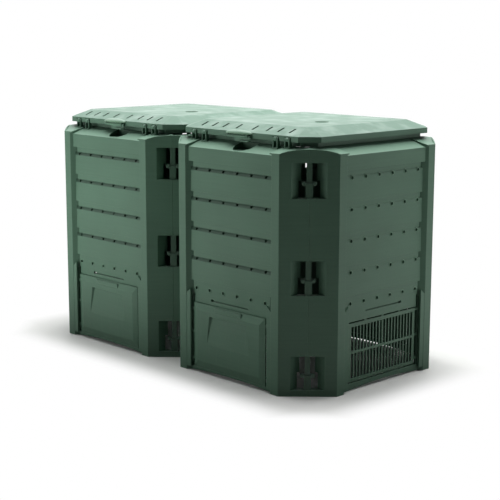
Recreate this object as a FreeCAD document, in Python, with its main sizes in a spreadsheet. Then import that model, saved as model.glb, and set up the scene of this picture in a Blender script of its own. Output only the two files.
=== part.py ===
"""Two-chamber garden compost bin: clipped wall panels, sliding doors, vent grilles and hinged lids.

Millimetres. Z is up, X runs along the front, Y runs to the back, and the origin is the centre of
the footprint on the ground. A wall panel is drawn lying along X with its outer face at Y = 0 and
the inside of the bin towards +Y, then turned to its side of the eight-sided chamber.
"""
import FreeCAD, Part
import math
import os
import re
import Sketcher

SIZES = {
    # Chambers
    "half_width": 359.5,         # chamber centre to the outer face of a wall
    "chamber_pitch": 631.0,      # centre to centre of the two chambers
    "corner_run": 64.75,         # how far a corner flange runs back from the face
    "wall_height": 753.0,        # ground to the outer edge of the rim
    "skin": 4.0,                 # moulded wall
    # Wall relief, as depths behind the outer face of the posts
    "post_width": 32.5,
    "band_depth": 8.0,
    "band_height": 54.0,
    "field_depth": 18.0,
    "strip_depth": 14.5,
    "board_top_depth": 13.5,
    "board_toe_depth": 12.5,
    "strip_end": 173.0,          # the strip over each board stops short of one cheek
    # Rows of air holes
    "first_row_drop": 78.0,      # below the rim
    "row_pitch": 98.3,
    "hole_spacing": 64.0,
    "hole_radius": 5.0,
    "board_drop": 24.0,          # from a board's toe down to the row of holes under it
    "groove_half": 4.5,
    # Hatch opening low in a wall
    "opening_half": 168.0,
    "opening_bottom": 24.0,
    "opening_top": 222.0,
    "foot_arch": 9.0,
    "header_groove_height": 250.0,
    "header_groove_half": 85.0,
    "header_groove_width": 5.0,
    # Rim
    "rim_width": 78.0,
    "rim_rise": 16.8,
    "rim_drop": 8.0,             # between the posts the rim's front edge is this much lower
    "rim_lip": 18.0,
    "scoop_radius": 41.0,        # finger scoop in the rim in front of the latch
    "scoop_side": 32.0,
    "scoop_back": 53.0,
    "scoop_drop": 7.0,           # floor of the scoop below the posts' tops
    "rim_gusset": 36.0,          # cut across each inner corner of the rim
    # Clip windows in the corner flanges
    "window_reach": 54.0,        # along a wall's flange from the seam
    "window_short_reach": 24.0,  # along the divider's flange from the seam
    "window_bottom": 20.0,
    "window_height": 108.0,
    "window_pitch": 299.0,
    "window_wall": 3.0,
    "window_depth": 42.0,        # jamb plate, measured across the chamber
    "window_ledge": 19.0,        # ledges reach this far behind the seam
    "jamb_notch": 52.0,          # the lower part of a jamb is cut back
    "seam_bevel": 1.2,
    # Corner clips
    "clip_width": 17.0,
    "clip_inset": 8.0,
    "clip_thickness": 5.0,
    "clip_tongue_width": 22.0,
    "clip_tongue_height": 46.0,
    "clip_wing_width": 46.0,
    "clip_wing_lift": 38.0,
    "clip_wing_height": 14.0,
    "clip_knob_side": 17.0,
    "clip_knob_radius": 5.5,
    "clip_knob_inset": 2.5,
    # Sliding doors
    "door_half": 166.5,
    "door_bottom": 16.0,
    "door_height": 218.0,
    "door_back": 11.2,
    "door_sheet": 3.0,
    "door_front": 2.0,
    "door_crest_half": 144.0,
    "door_bevel": 22.0,
    "door_bevel_up": 19.0,
    "door_bevel_top": 23.0,
    "door_tab": 17.5,
    "door_tab_height": 8.0,
    "rail_gap": 11.5,            # door edge to rail
    "rail_height": 263.0,
    "pull_half": 61.0,           # ledge along the door's top bevel
    "grip_top_half": 83.0,       # hollow in the door's face
    "grip_toe_half": 100.0,
    "grip_top_inset": 36.0,
    "grip_drop": 96.0,
    "grip_depth": 7.6,
    "grip_draft": 7.0,
    # Vent grilles
    "grille_gap": 4.5,
    "grille_thickness": 4.0,
    "grille_border": 12.5,
    "grille_bar": 5.0,
    "grille_rib": 9.0,
    # Lids, measured from the outer face of the walls and from the top of the rim
    "lid_inset": 54.5,
    "lid_corner": 49.0,
    "lid_lift": 14.7,
    "lid_skirt": 17.5,
    "lid_rise": 24.0,
    "lid_slope_run": 65.0,
    "lid_skin": 4.0,
    "ring_inset": 21.5,
    "ring_lift": 0.5,
    "ring_wall": 3.0,
    "slot_width": 8.0,
    "slot_inset": 20.0,
    "slot_length": 29.0,
    # Hinge clips along the lid's front and back edges
    "hinge_side": 187.0,
    "hinge_inset": 2.0,          # pin behind the lid's edge
    "hinge_lift": 20.2,          # pin above the rim
    "hinge_pin_radius": 4.0,
    "hinge_running": 0.08,
    "hinge_twin": 25.0,          # the two hooks of a hinge, each side of its middle
    "hinge_hook_half": 5.0,
    "hinge_hook_wall": 3.4,
    "hinge_ear": 4.0,
    "hinge_ear_half": 6.0,
    "hinge_side_gap": 1.5,
    "hinge_opening_half": 13.0,
    # Latch on the lid's front edge
    "latch_half": 56.0,
    "latch_ear_side": 43.0,
    "latch_ear": 6.0,
    "latch_pin_radius": 2.5,
    "latch_running": 0.08,
    "latch_reach": 6.5,          # pin in front of the lid's edge
    "latch_lift": 19.2,          # pin above the rim
    "latch_barrel": 4.8,
    "latch_plate": 3.5,
    "latch_drop": 17.0,
    "latch_tongue": 10.0,
}
ROWS = 5
COLUMNS = 6
WINDOWS = 3
GRILLE_GAPS = 20
SLOT_PLACES = (37, 99, 149, 199)     # lid slots, each side of the middle
TAB_HEIGHTS = (25, 114, 191)         # tabs up the door's sides, above its lower edge
GRILLE_TAB_HEIGHTS = (14, 94, 180)       # tabs up the grille's sides, above its lower edge
GRILLE_TAB_PLACES = (-84, 0, 84)
HOOK_PLACES = [f"({side} * hinge_side + {twin} * hinge_twin)" for side in (-1, 1) for twin in (-1, 1)]

doc = FreeCAD.newDocument("compost_bin")
sheet = doc.addObject("Spreadsheet::Sheet", "sizes")
for line, (word, value) in enumerate(SIZES.items(), start=1):
    sheet.set(f"A{line}", word)
    sheet.set(f"B{line}", str(value))
    sheet.setAlias(f"B{line}", word)
doc.recompute()


def terms(text):
    """A formula in the sheet's words, as an expression of the document."""
    return re.sub(r"[a-z]\w*", lambda found: "sizes." + found.group()
                  if found.group() in SIZES else found.group(), str(text))


def bind(thing, prop, formula):
    thing.setExpression(prop, terms(formula))


def new_body(name, group=False):
    body = doc.addObject("PartDesign::Body", name)
    body.Label = name
    if group:
        body.AllowCompound = True
    return body


def origin_part(body, role):
    return next(item for item in body.Origin.OriginFeatures if item.Role == role)


def new_sketch(body, plane, start="0"):
    """A sketch on one of the body's own planes, moved along the plane's normal to start."""
    sketch = body.newObject("Sketcher::SketchObject", "sketch")
    sketch.AttachmentSupport = [(origin_part(body, plane + "_Plane"), "")]
    sketch.MapMode = "FlatFace"
    bind(sketch, "AttachmentOffset.Base.z", f"-({start})" if plane == "XZ" else start)
    return sketch


def add_outline(sketch, corners):
    """A closed outline of straight edges; both places of every corner follow the sheet."""
    first = sketch.GeometryCount
    count = len(corners)
    ring = [FreeCAD.Vector(100, 0, 0)]
    turn = FreeCAD.Rotation(FreeCAD.Vector(0, 0, 1), 360.0 / count)
    for _ in range(count - 1):
        ring.append(turn.multVec(ring[-1]))
    for index in range(count):
        sketch.addGeometry(Part.LineSegment(ring[index], ring[(index + 1) % count]), False)
    for index in range(count):
        follower = first + (index + 1) % count
        sketch.addConstraint(Sketcher.Constraint("Coincident", first + index, 2, follower, 1))
    for index, corner in enumerate(corners):
        for kind, formula, guess in zip(("DistanceX", "DistanceY"), corner,
                                        (ring[index].x, ring[index].y)):
            place_at(sketch, kind, first + index, 1, formula, guess)


def place_at(sketch, kind, geometry, point, formula, guess):
    number = sketch.addConstraint(Sketcher.Constraint(kind, -1, 1, geometry, point, guess))
    bind(sketch, f"Constraints[{number}]", formula)


def add_circle(sketch, across, up, radius):
    shape = Part.Circle(FreeCAD.Vector(10, 10, 0), FreeCAD.Vector(0, 0, 1), 5)
    circle = sketch.addGeometry(shape, False)
    place_at(sketch, "DistanceX", circle, 3, across, 10)
    place_at(sketch, "DistanceY", circle, 3, up, 10)
    number = sketch.addConstraint(Sketcher.Constraint("Radius", circle, 5))
    bind(sketch, f"Constraints[{number}]", radius)


def box_corners(left, right, low, high):
    return [(left, low), (right, low), (right, high), (left, high)]


def octagon(half, corner):
    """The eight corners of a square plan with its corners cut off."""
    near, far = f"({half})", f"({half} - ({corner}))"
    signs = ((1, -1), (1, 1), (-1, 1), (-1, -1))
    corners = []
    for across, up in signs:
        long_first = [(f"{across} * {far}", f"{up} * {near}"),
                      (f"{across} * {near}", f"{up} * {far}")]
        corners += long_first if across * up < 0 else long_first[::-1]
    return corners


def solid_step(body, kind, outlines, circles, plane, start, length, middle):
    sketch = new_sketch(body, plane, start)
    for corners in outlines:
        add_outline(sketch, corners)
    for circle in circles:
        add_circle(sketch, *circle)
    step = body.newObject("PartDesign::" + kind, kind.lower())
    step.Profile = sketch
    step.Midplane = middle
    return step


def pad(body, outlines=(), circles=(), plane="XY", start="0", length="1", middle=False):
    """Adds a prism from start, along +Z, +X or, on the upright XZ plane, towards -Y."""
    step = solid_step(body, "Pad", outlines, circles, plane, start, length, middle)
    bind(step, "Length", length)
    return step


def cut(body, outlines=(), circles=(), plane="XY", start="0", length=None):
    """Removes a prism on the same side as pad would add it, or right through with no length."""
    step = solid_step(body, "Pocket", outlines, circles, plane, start, length, length is None)
    if length is None:
        step.Type = "ThroughAll"
    else:
        step.Reversed = True
        bind(step, "Length", length)
    return step


def loft(body, kind, sections, plane="XY"):
    """Sections are (outline, start) pairs."""
    sketches = []
    for corners, start in sections:
        sketch = new_sketch(body, plane, start)
        add_outline(sketch, corners)
        sketches.append(sketch)
    step = body.newObject("PartDesign::" + kind, "loft")
    step.Profile = sketches[0]
    step.Sections = sketches[1:]
    step.Ruled = True
    return step


def repeat(body, steps, axis, length, count, backwards=False):
    doc.recompute()
    pattern = body.newObject("PartDesign::LinearPattern", "repeat")
    pattern.Originals = steps
    pattern.Direction = (origin_part(body, axis + "_Axis"), [""])
    pattern.Reversed = backwards
    bind(pattern, "Length", length)
    pattern.Occurrences = count
    body.Tip = pattern
    return pattern


def place(body, across, back, up="0", turn=0):
    body.Placement = FreeCAD.Placement(FreeCAD.Vector(),
                                       FreeCAD.Rotation(FreeCAD.Vector(0, 0, 1), turn))
    for axis, formula in zip("xyz", (across, back, up)):
        bind(body, "Placement.Base." + axis, formula)


def mirrored(corners):
    """The same outline on the other side of the middle."""
    return [(f"-({across})", up) for across, up in corners]


def both_sides(corners):
    return [corners, mirrored(corners)]


# Words for places that several pieces share
face_half = "(half_width - 2 * corner_run)"
seam = "(half_width - corner_run)"
post_inner = f"({face_half} - post_width)"
cheek_foot = f"({post_inner} - field_depth)"
miter = "skin * (sqrt(2) - 1)"
slope = "(rim_rise / rim_width)"
rim_top = "(wall_height + rim_rise)"
first_row = "(wall_height - first_row_drop)"
row_low = f"({first_row} - {ROWS - 1} * row_pitch)"
header_top = f"({row_low} + board_drop)"
jamb = f"({seam} - window_reach / sqrt(2))"
scoop_floor = "(wall_height - scoop_drop)"
shelf_half = f"({post_inner} - band_depth)"
shelf_low = "(wall_height - rim_drop)"
shelf_slope = f"(({rim_top} - {shelf_low}) / (rim_width - band_depth))"
rail_back = "(door_back - door_sheet + 0.7)"
door_top = "(door_bottom + door_height)"
lid_half = "(half_width - lid_inset)"
lid_bottom = f"({rim_top} + lid_lift)"
lid_edge = f"({lid_bottom} + lid_skirt)"
lid_top = f"({lid_edge} + lid_rise)"
lid_slope = "(lid_rise / lid_slope_run)"
ring_half = f"({lid_half} - ring_inset)"
hinge_back = f"({lid_half} - hinge_inset)"
hinge_height = f"({rim_top} + hinge_lift)"
latch_height = f"({rim_top} + latch_lift)"
divider_side = "(chamber_pitch / 2 - half_width + corner_run)"


def hole_row():
    return [(f"{column - (COLUMNS - 1) / 2} * hole_spacing", row_low, "hole_radius")
            for column in range(COLUMNS)]


def scoop_outline(wall):
    """Half a disc, with straight sides that run back to the rim's lip."""
    turns = [math.radians(15 * step) for step in range(13)]
    arc = [(f"scoop_side - {math.cos(turn):.4f} * (scoop_radius + {wall})",
            f"scoop_back - {math.sin(turn):.4f} * (scoop_radius + {wall})") for turn in turns]
    back = f"rim_width - skin + {wall}"
    return arc + [(f"scoop_side + scoop_radius + {wall}", back),
                  (f"scoop_side - scoop_radius - {wall}", back)]


def add_rim(body, scooped):
    """Shelf along the top of a panel: high over the posts and corners, lower between them."""
    lip_in = "(rim_width - skin)"
    lip = [("rim_width", f"{rim_top} - rim_lip"), (lip_in, f"{rim_top} - rim_lip")]
    over_corners = [("0", "wall_height - skin"), ("0", "wall_height + 1"),
                    ("rim_width", f"{rim_top} + 1")] + lip
    over_corners.append((lip_in, f"wall_height - skin + {slope} * {lip_in}"))
    pad(body, [over_corners], plane="YZ", length=f"2 * {seam}", middle=True)
    beyond = [(face_half, "0"), (seam, "corner_run"),
              ("half_width - rim_width - 5", "rim_width + 5"),
              (f"{seam} + 40", "rim_width + 5"), (f"{seam} + 40", "-5"),
              (f"{face_half} - 5", "-5")]
    cut(body, both_sides(beyond))
    cut(body, [box_corners(f"-{shelf_half}", shelf_half, "-1", "rim_width + 1")])
    between_posts = [("band_depth", f"{shelf_low} - skin"), ("band_depth", f"{shelf_low} + 1"),
                     ("rim_width", f"{rim_top} + 1")] + lip
    between_posts.append((lip_in, f"{rim_top} - 1.4 * skin"))
    pad(body, [between_posts], plane="YZ", length=f"2 * {shelf_half}", middle=True)
    riser = [("band_depth", f"{shelf_low} - skin"), ("band_depth", "wall_height + 2"),
             ("rim_width", f"{rim_top} + 1"), ("rim_width", f"{rim_top} - skin")]
    for start in (shelf_half, f"-{shelf_half} - skin"):
        pad(body, [riser], plane="YZ", start=start, length="skin")
    inner = "(half_width - rim_width)"
    gusset = [(inner, "rim_width - 1"), (f"{inner} - rim_gusset", "rim_width - 1"),
              (f"{inner} - rim_gusset", "rim_width"),
              (f"{inner} - rim_gusset / 2", "rim_width + rim_gusset / 2"), (inner, "rim_width")]
    pad(body, both_sides(gusset), start=f"{rim_top} - skin", length="skin")
    if scooped:
        pad(body, [scoop_outline("skin")], start=f"{scoop_floor} - skin",
            length="rim_rise + scoop_drop")


def trim_rim(body, scooped):
    """Takes off all that stands above the rim, and sinks the finger scoop into it."""
    over_corners = [("-1", f"wall_height - {slope}"),
                    ("half_width", f"wall_height + {slope} * half_width"),
                    ("half_width", "wall_height + 200"), ("-1", "wall_height + 200")]
    cut(body, [over_corners], plane="YZ")
    between_posts = [("-1", f"{shelf_low} - (band_depth + 1) * {shelf_slope}"),
                     ("rim_width", rim_top), ("rim_width", "wall_height + 200"),
                     ("-1", "wall_height + 200")]
    cut(body, [between_posts], plane="YZ", start=f"-{shelf_half}", length=f"2 * {shelf_half}")
    if scooped:
        cut(body, [scoop_outline("0")], start=scoop_floor, length="60")


def add_crest(body):
    """The top edge of each corner flange curves up from the post to the seam."""
    curve = ((0.04, 0.04), (0.08, 0.2), (0.16, 0.34), (0.25, 0.5), (0.36, 0.64), (0.48, 0.76),
             (0.62, 0.87), (0.8, 0.96), (1, 1))
    edge = [(f"{along} * corner_run * sqrt(2)", f"wall_height + {up} * {slope} * corner_run")
            for along, up in curve]
    outline = [(f"{curve[0][0]} * corner_run * sqrt(2)", "wall_height - 1")] + edge
    outline.append(("corner_run * sqrt(2)", "wall_height - 1"))
    for side, corners in ((1, outline), (-1, mirrored(outline))):
        step = pad(body, [corners], plane="XZ", length="skin")
        step.Reversed = True
        sketch = step.Profile[0]
        turn = FreeCAD.Rotation(FreeCAD.Vector(0, 1, 0), 45 * side)
        sketch.AttachmentOffset = FreeCAD.Placement(FreeCAD.Vector(), turn)
        bind(sketch, "AttachmentOffset.Base.x", f"{side} * {face_half}")


def add_relief(body, far, grooved):
    """Top band, boards and the plain surround of the hatch. A grooved panel's boards have a
    sloping top edge, and towards the far side all strips over boards stop short of the cheek."""
    band = [(f"-{shelf_half}", "band_depth"), (shelf_half, "band_depth"),
            (cheek_foot, "field_depth + 1"), (f"-{cheek_foot}", "field_depth + 1")]
    pad(body, [band], start="wall_height - band_height", length="band_height + 10")
    buried = "field_depth + 1"
    toe = f"({first_row} - row_pitch + board_drop)"
    full_run = f"2 * ({cheek_foot} + field_depth - board_toe_depth)"
    reach = f"({cheek_foot} + 3)"
    strip_start = "-strip_end" if far < 0 else f"-{reach}"
    strip_run = f"strip_end + {reach}"
    board = pad(body, [[(buried, f"{first_row} + groove_half"),
                        ("field_depth" if grooved else "board_top_depth",
                         f"{first_row} + groove_half"),
                        ("board_top_depth", f"{first_row} - groove_half"),
                        ("board_toe_depth", toe), (buried, toe)]],
                plane="YZ", length=full_run, middle=True)
    strip = pad(body, [box_corners("strip_depth", buried, f"{first_row} + groove_half",
                                   f"{first_row} + board_drop + 1")],
                plane="YZ", start=strip_start, length=strip_run)
    repeat(body, [board, strip], "Z", f"{ROWS - 2} * row_pitch", ROWS - 1, backwards=True)
    pad(body, [box_corners("board_top_depth", buried, "0", f"{row_low} - board_drop")],
        plane="YZ", length=full_run, middle=True)
    pad(body, [box_corners("board_top_depth", buried, f"{row_low} - board_drop - 1",
                           f"{header_top} + 1")],
        plane="YZ", start=strip_start, length=strip_run)


def add_holes(body, dot_side):
    holes = cut(body, circles=hole_row(), plane="XZ")
    repeat(body, [holes], "Z", f"{ROWS - 1} * row_pitch", ROWS)
    groove = box_corners("-header_groove_half", "header_groove_half",
                         "header_groove_height - header_groove_width / 2",
                         "header_groove_height + header_groove_width / 2")
    cut(body, [groove], plane="XZ", start="field_depth", length="field_depth")
    cut(body, circles=[(f"{dot_side} * header_groove_half", "header_groove_height",
                        "hole_radius")], plane="XZ")


def add_windows(body):
    """Three clip windows in each corner flange, with a jamb and ledges behind them."""
    start = f"({jamb} - {face_half})"
    block = [(f"{jamb} - window_wall", f"{start} - window_wall"), (seam, "corner_run"),
             (f"{seam} - window_ledge / sqrt(2)", "corner_run + window_ledge / sqrt(2)"),
             (jamb, f"{start} + window_depth"), (f"{jamb} - window_wall",
                                                 f"{start} + window_depth")]
    boxes = pad(body, both_sides(block), start="window_bottom - window_wall",
                length="window_height + 2 * window_wall")
    opening = box_corners(jamb, f"{seam} + 20", "-5", "rim_width + 10")
    holes = cut(body, both_sides(opening), start="window_bottom", length="window_height")
    notch = box_corners(f"{jamb} - window_wall - 1", f"{jamb} + 1",
                        f"{start} + 0.72 * window_depth", f"{start} + window_depth + 5")
    notches = cut(body, both_sides(notch), start="window_bottom", length="jamb_notch")
    repeat(body, [boxes, holes, notches], "Z", f"{WINDOWS - 1} * window_pitch", WINDOWS)


def add_seam_bevel(body):
    """Small bevel on the panel's upright edges, so that a seam shows as a fine groove."""
    bevel = [(f"{seam} - seam_bevel", "corner_run - seam_bevel"),
             (f"{seam} + 1", "corner_run - seam_bevel - 1"),
             (f"{seam} + 1", "corner_run - 1"),
             (f"{seam} - seam_bevel / 2", "corner_run + seam_bevel / 2")]
    cut(body, both_sides(bevel))


def add_rails(body, far):
    """Rails that a hatch door's tabs run behind, with the slots that free them from the mould."""
    for side, high in ((far, "rail_height - 1"), (-far, "opening_top")):
        slot = box_corners(f"{side} * opening_half", f"{side} * (door_half + rail_gap)",
                           "opening_bottom", high)
        cut(body, [slot], plane="XZ")
    outer = f"{post_inner} - 0.3"
    rail = [("door_half + rail_gap", "opening_bottom - 10"), (outer, "opening_bottom - 10"),
            (outer, "rail_height - 2"), ("door_half + rail_gap", "rail_height + 15")]
    pad(body, both_sides(rail), plane="XZ", start=rail_back, length=f"{rail_back} - 1")


def add_sill(body):
    sill = box_corners("band_depth", "field_depth + 1", "foot_arch + 1.5", "door_bottom - 0.3")
    pad(body, [sill], plane="YZ", length=f"2 * ({cheek_foot} + 2)", middle=True)


def add_arch(body, plane="XZ", half=f"({post_inner} - 6)"):
    """The lower edge rises a little in the middle, so the panel stands on its ends."""
    sketch = new_sketch(body, plane)
    arc = Part.Arc(FreeCAD.Vector(190, 0, 0), FreeCAD.Vector(0, 9, 0), FreeCAD.Vector(-190, 0, 0))
    sketch.addGeometry(arc, False)
    base = Part.LineSegment(FreeCAD.Vector(-190, 0, 0), FreeCAD.Vector(190, 0, 0))
    sketch.addGeometry(base, False)
    sketch.addConstraint(Sketcher.Constraint("Coincident", 0, 1, 1, 2))
    sketch.addConstraint(Sketcher.Constraint("Coincident", 0, 2, 1, 1))
    place_at(sketch, "DistanceX", 1, 2, half, 190)
    place_at(sketch, "DistanceX", 1, 1, f"-{half}", -190)
    sketch.addConstraint(Sketcher.Constraint("DistanceY", -1, 1, 1, 1, 0))
    sketch.addConstraint(Sketcher.Constraint("Horizontal", 1))
    number = sketch.addConstraint(Sketcher.Constraint("Radius", 0, 2000))
    bind(sketch, f"Constraints[{number}]", f"({half} * {half} / foot_arch + foot_arch) / 2")
    step = body.newObject("PartDesign::Pocket", "arch")
    step.Profile = sketch
    step.Midplane = True
    step.Type = "ThroughAll"


def make_panel(name, front):
    """The moulded wall panel that every outer wall is a copy of."""
    body = new_body(name)
    add_rim(body, front)
    line = [(cheek_foot, "field_depth"), (post_inner, "0"), (face_half, "0"),
            (seam, "corner_run")]
    inside = [(f"{seam} - skin / sqrt(2)", "corner_run + skin / sqrt(2)"),
              (f"{face_half} - {miter}", "skin"), (f"{post_inner} + {miter}", "skin"),
              (f"{cheek_foot} + {miter}", "field_depth + skin")]
    pad(body, [mirrored(line)[::-1] + line + inside + mirrored(inside)[::-1]],
        length="wall_height + rim_rise")
    far = -1 if front else 1
    add_relief(body, far, front)
    trim_rim(body, front)
    add_crest(body)
    add_holes(body, far)
    cut(body, [box_corners("-opening_half", "opening_half", "opening_bottom", "opening_top")],
        plane="XZ")
    add_windows(body)
    add_seam_bevel(body)
    add_rails(body, far)
    if front:
        add_sill(body)
    add_arch(body)
    return body


def copy_body(name, source):
    body = new_body(name)
    body.BaseFeature = source
    return body


def front_and_back(quarter):
    """A line down the right side, from its part in front of the middle."""
    return quarter + [(across, f"-({back})") for across, back in quarter[::-1]]


def make_divider(name):
    """The wall that both chambers share; it forks into the V at each end."""
    body = new_body(name)
    notch = f"({seam} - {divider_side})"
    reach = "skin / sqrt(2)"
    half = "skin / 2"
    fork = front_and_back([(divider_side, f"-{seam}"),
                           (f"{divider_side} + {reach}", f"-{seam} + {reach}"),
                           (half, f"-{notch} + 2 * {reach} - {half}")])
    pad(body, [[("0", f"-{notch}")] + fork + [("0", notch)] + mirrored(fork)[::-1]],
        length=f"{rim_top} - skin")
    cap_half = "(chamber_pitch / 2 - half_width + rim_width)"
    cap_end = "(half_width - rim_width)"
    cap_top = f"(wall_height + {slope} * corner_run)"
    cap = front_and_back([(divider_side, f"-{seam}"), (cap_half, f"-{cap_end}")])
    pad(body, [[("0", f"-{notch}")] + cap + [("0", notch)] + mirrored(cap)[::-1]],
        start=f"{cap_top} - skin", length="skin")
    lip = box_corners(f"{cap_half} - skin", cap_half, f"-{cap_end}", cap_end)
    pad(body, both_sides(lip), start=f"{cap_top} - rim_lip", length="rim_lip")
    holes = cut(body, circles=hole_row(), plane="YZ")
    repeat(body, [holes], "Z", f"{ROWS - 1} * row_pitch", ROWS)
    window = box_corners(f"{divider_side} - window_short_reach / sqrt(2)",
                         f"{divider_side} + 10", f"{notch} - 3 * skin / 2", f"{seam} + 5")
    window_back = box_corners(f"{divider_side} - window_short_reach / sqrt(2)",
                              f"{divider_side} + 10", f"-{seam} - 5", f"-{notch} + 3 * skin / 2")
    openings = cut(body, both_sides(window) + both_sides(window_back),
                   start="window_bottom", length="window_height")
    repeat(body, [openings], "Z", f"{WINDOWS - 1} * window_pitch", WINDOWS)
    add_arch(body, "YZ", f"({notch} - 40)")
    return body


def make_clips(name):
    """Three clips, one over the other: a strap down the corner's window, a tongue and wings."""
    body = new_body(name, group=True)
    back = "clip_inset + clip_thickness"
    straps, tongues, wings, knobs = [], [], [], []
    for window in range(WINDOWS):
        low = f"(window_bottom + {window} * window_pitch)"
        straps.append(box_corners("-clip_width / 2", "clip_width / 2", low,
                                  f"{low} + window_height"))
        tongues.append(box_corners("-clip_tongue_width / 2", "clip_tongue_width / 2", low,
                                   f"{low} + clip_tongue_height"))
        high = f"{low} + clip_wing_lift + clip_wing_height"
        wing = [("clip_wing_width / 2 - 5", f"{low} + clip_wing_lift"),
                ("clip_wing_width / 2", f"{low} + clip_wing_lift + 4"),
                ("clip_wing_width / 2", high), ("clip_width / 2", high)]
        wings.append(wing + mirrored(wing)[::-1])
        knobs += [(f"{side} * clip_knob_side", f"{low} + clip_wing_lift + clip_wing_height / 2",
                   "clip_knob_radius") for side in (1, -1)]
    pad(body, straps, plane="XZ", start=back, length="clip_thickness")
    pad(body, tongues, plane="XZ", start=f"{back} - 1", length="clip_thickness + 2")
    pad(body, wings, plane="XZ", start=back, length="clip_thickness")
    pad(body, circles=knobs, plane="XZ", start=back, length=f"{back} - clip_knob_inset")
    return body


def make_door(name):
    """Sliding hatch door: a sheet with a raised hollow panel and side tabs."""
    body = new_body(name)
    sheet_front = "(door_back - door_sheet)"
    pad(body, [box_corners("-door_half", "door_half", "door_bottom", door_top)],
        plane="XZ", start="door_back", length="door_sheet")
    tabs = [box_corners("door_half - 2", "door_half + door_tab", f"door_bottom + {low}",
                        f"door_bottom + {low} + door_tab_height") for low in TAB_HEIGHTS]
    tabs += [mirrored(tab) for tab in tabs]
    pad(body, tabs, plane="XZ", start="door_back", length="door_sheet - 1")
    foot_half = "(door_crest_half + door_bevel)"
    foot = box_corners(f"-{foot_half}", foot_half, "door_bottom + 6", door_top)
    crest = box_corners("-door_crest_half", "door_crest_half",
                        "door_bottom + 6 + door_bevel_up", f"{door_top} - door_bevel_top")
    loft(body, "AdditiveLoft", [(foot, sheet_front), (crest, "door_front")], "XZ")
    foot_in = box_corners(f"door_sheet - {foot_half}", f"{foot_half} - door_sheet",
                          "door_bottom + 6 + door_sheet", f"{door_top} - door_sheet")
    crest_in = box_corners("door_sheet - door_crest_half", "door_crest_half - door_sheet",
                           "door_bottom + 6 + door_bevel_up + door_sheet",
                           f"{door_top} - door_bevel_top - door_sheet")
    loft(body, "SubtractiveLoft", [(foot_in, "door_back"), (crest_in, "door_front + door_sheet")],
         "XZ")
    grip_high = f"({door_top} - grip_top_inset)"
    grip_low = f"({grip_high} - grip_drop)"
    wide, narrow = "(grip_top_half + grip_draft / 2)", "(grip_top_half - grip_draft / 2)"
    loft(body, "AdditiveLoft", [
        (box_corners(f"-{wide} - 3", f"{wide} + 3", "door_front + 1", "door_back"),
         f"{grip_high} + 3"),
        (box_corners("-grip_toe_half - 3", "grip_toe_half + 3", "door_front + 1",
                     "door_front + door_sheet + 0.2"), grip_low)])
    floor = "door_front + grip_depth"
    loft(body, "SubtractiveLoft", [
        ([(f"-{wide} - 2", "door_front - 2"), (f"{wide} + 2", "door_front - 2"),
          (narrow, floor), (f"-{narrow}", floor)], grip_high),
        (box_corners("-grip_toe_half", "grip_toe_half", "door_front - 2", "door_front"),
         grip_low)])
    ledge = box_corners("door_front + 0.4", f"{sheet_front} + 1", f"{door_top} - 17",
                        f"{door_top} - 4")
    pad(body, [ledge], plane="YZ", length="2 * pull_half", middle=True)
    return body


def make_grille(name):
    """Fixed vent grille that fills the hatch opening of a wall without a door."""
    body = new_body(name)
    half = "(opening_half - grille_gap)"
    low, high = "(opening_bottom + grille_gap)", "(opening_top - grille_gap)"
    back = "(board_top_depth + grille_thickness)"
    pad(body, [box_corners(f"-{half}", half, low, high)], plane="XZ", start=back,
        length="grille_thickness")
    tabs = [box_corners(f"{half} - 2", "door_half + rail_gap", f"{low} + {up}", f"{low} + {up} + 8")
            for up in GRILLE_TAB_HEIGHTS]
    tabs += [mirrored(tab) for tab in tabs]
    tabs += [box_corners(f"{across} - 5", f"{across} + 5", f"{high} - 2", f"{high} + grille_gap")
             for across in GRILLE_TAB_PLACES]
    pad(body, tabs, plane="XZ", start=back, length="grille_thickness - 1")
    pitch = f"((2 * {half} - 2 * grille_border + grille_bar) / {GRILLE_GAPS})"
    left = f"(grille_border - {half})"
    gap = f"({pitch} - grille_bar)"
    middle = f"({low} + {high}) / 2"
    slots = cut(body, [box_corners(left, f"{left} + {gap}", f"{low} + 11", f"{middle} - 4"),
                       box_corners(left, f"{left} + {gap}", f"{middle} + 4", f"{high} - 12")],
                plane="XZ")
    repeat(body, [slots], "X", f"{GRILLE_GAPS - 1} * {pitch}", GRILLE_GAPS)
    pad(body, [box_corners("-grille_rib / 2", "grille_rib / 2", middle, f"{high} - 4")],
        plane="XZ", start=f"{back} + 1", length="grille_thickness")
    return body


def lid_outline(inset):
    """The lid's plan, shrunk by inset all round."""
    return octagon(f"{lid_half} - ({inset})", f"lid_corner - (2 - sqrt(2)) * ({inset})")


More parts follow.
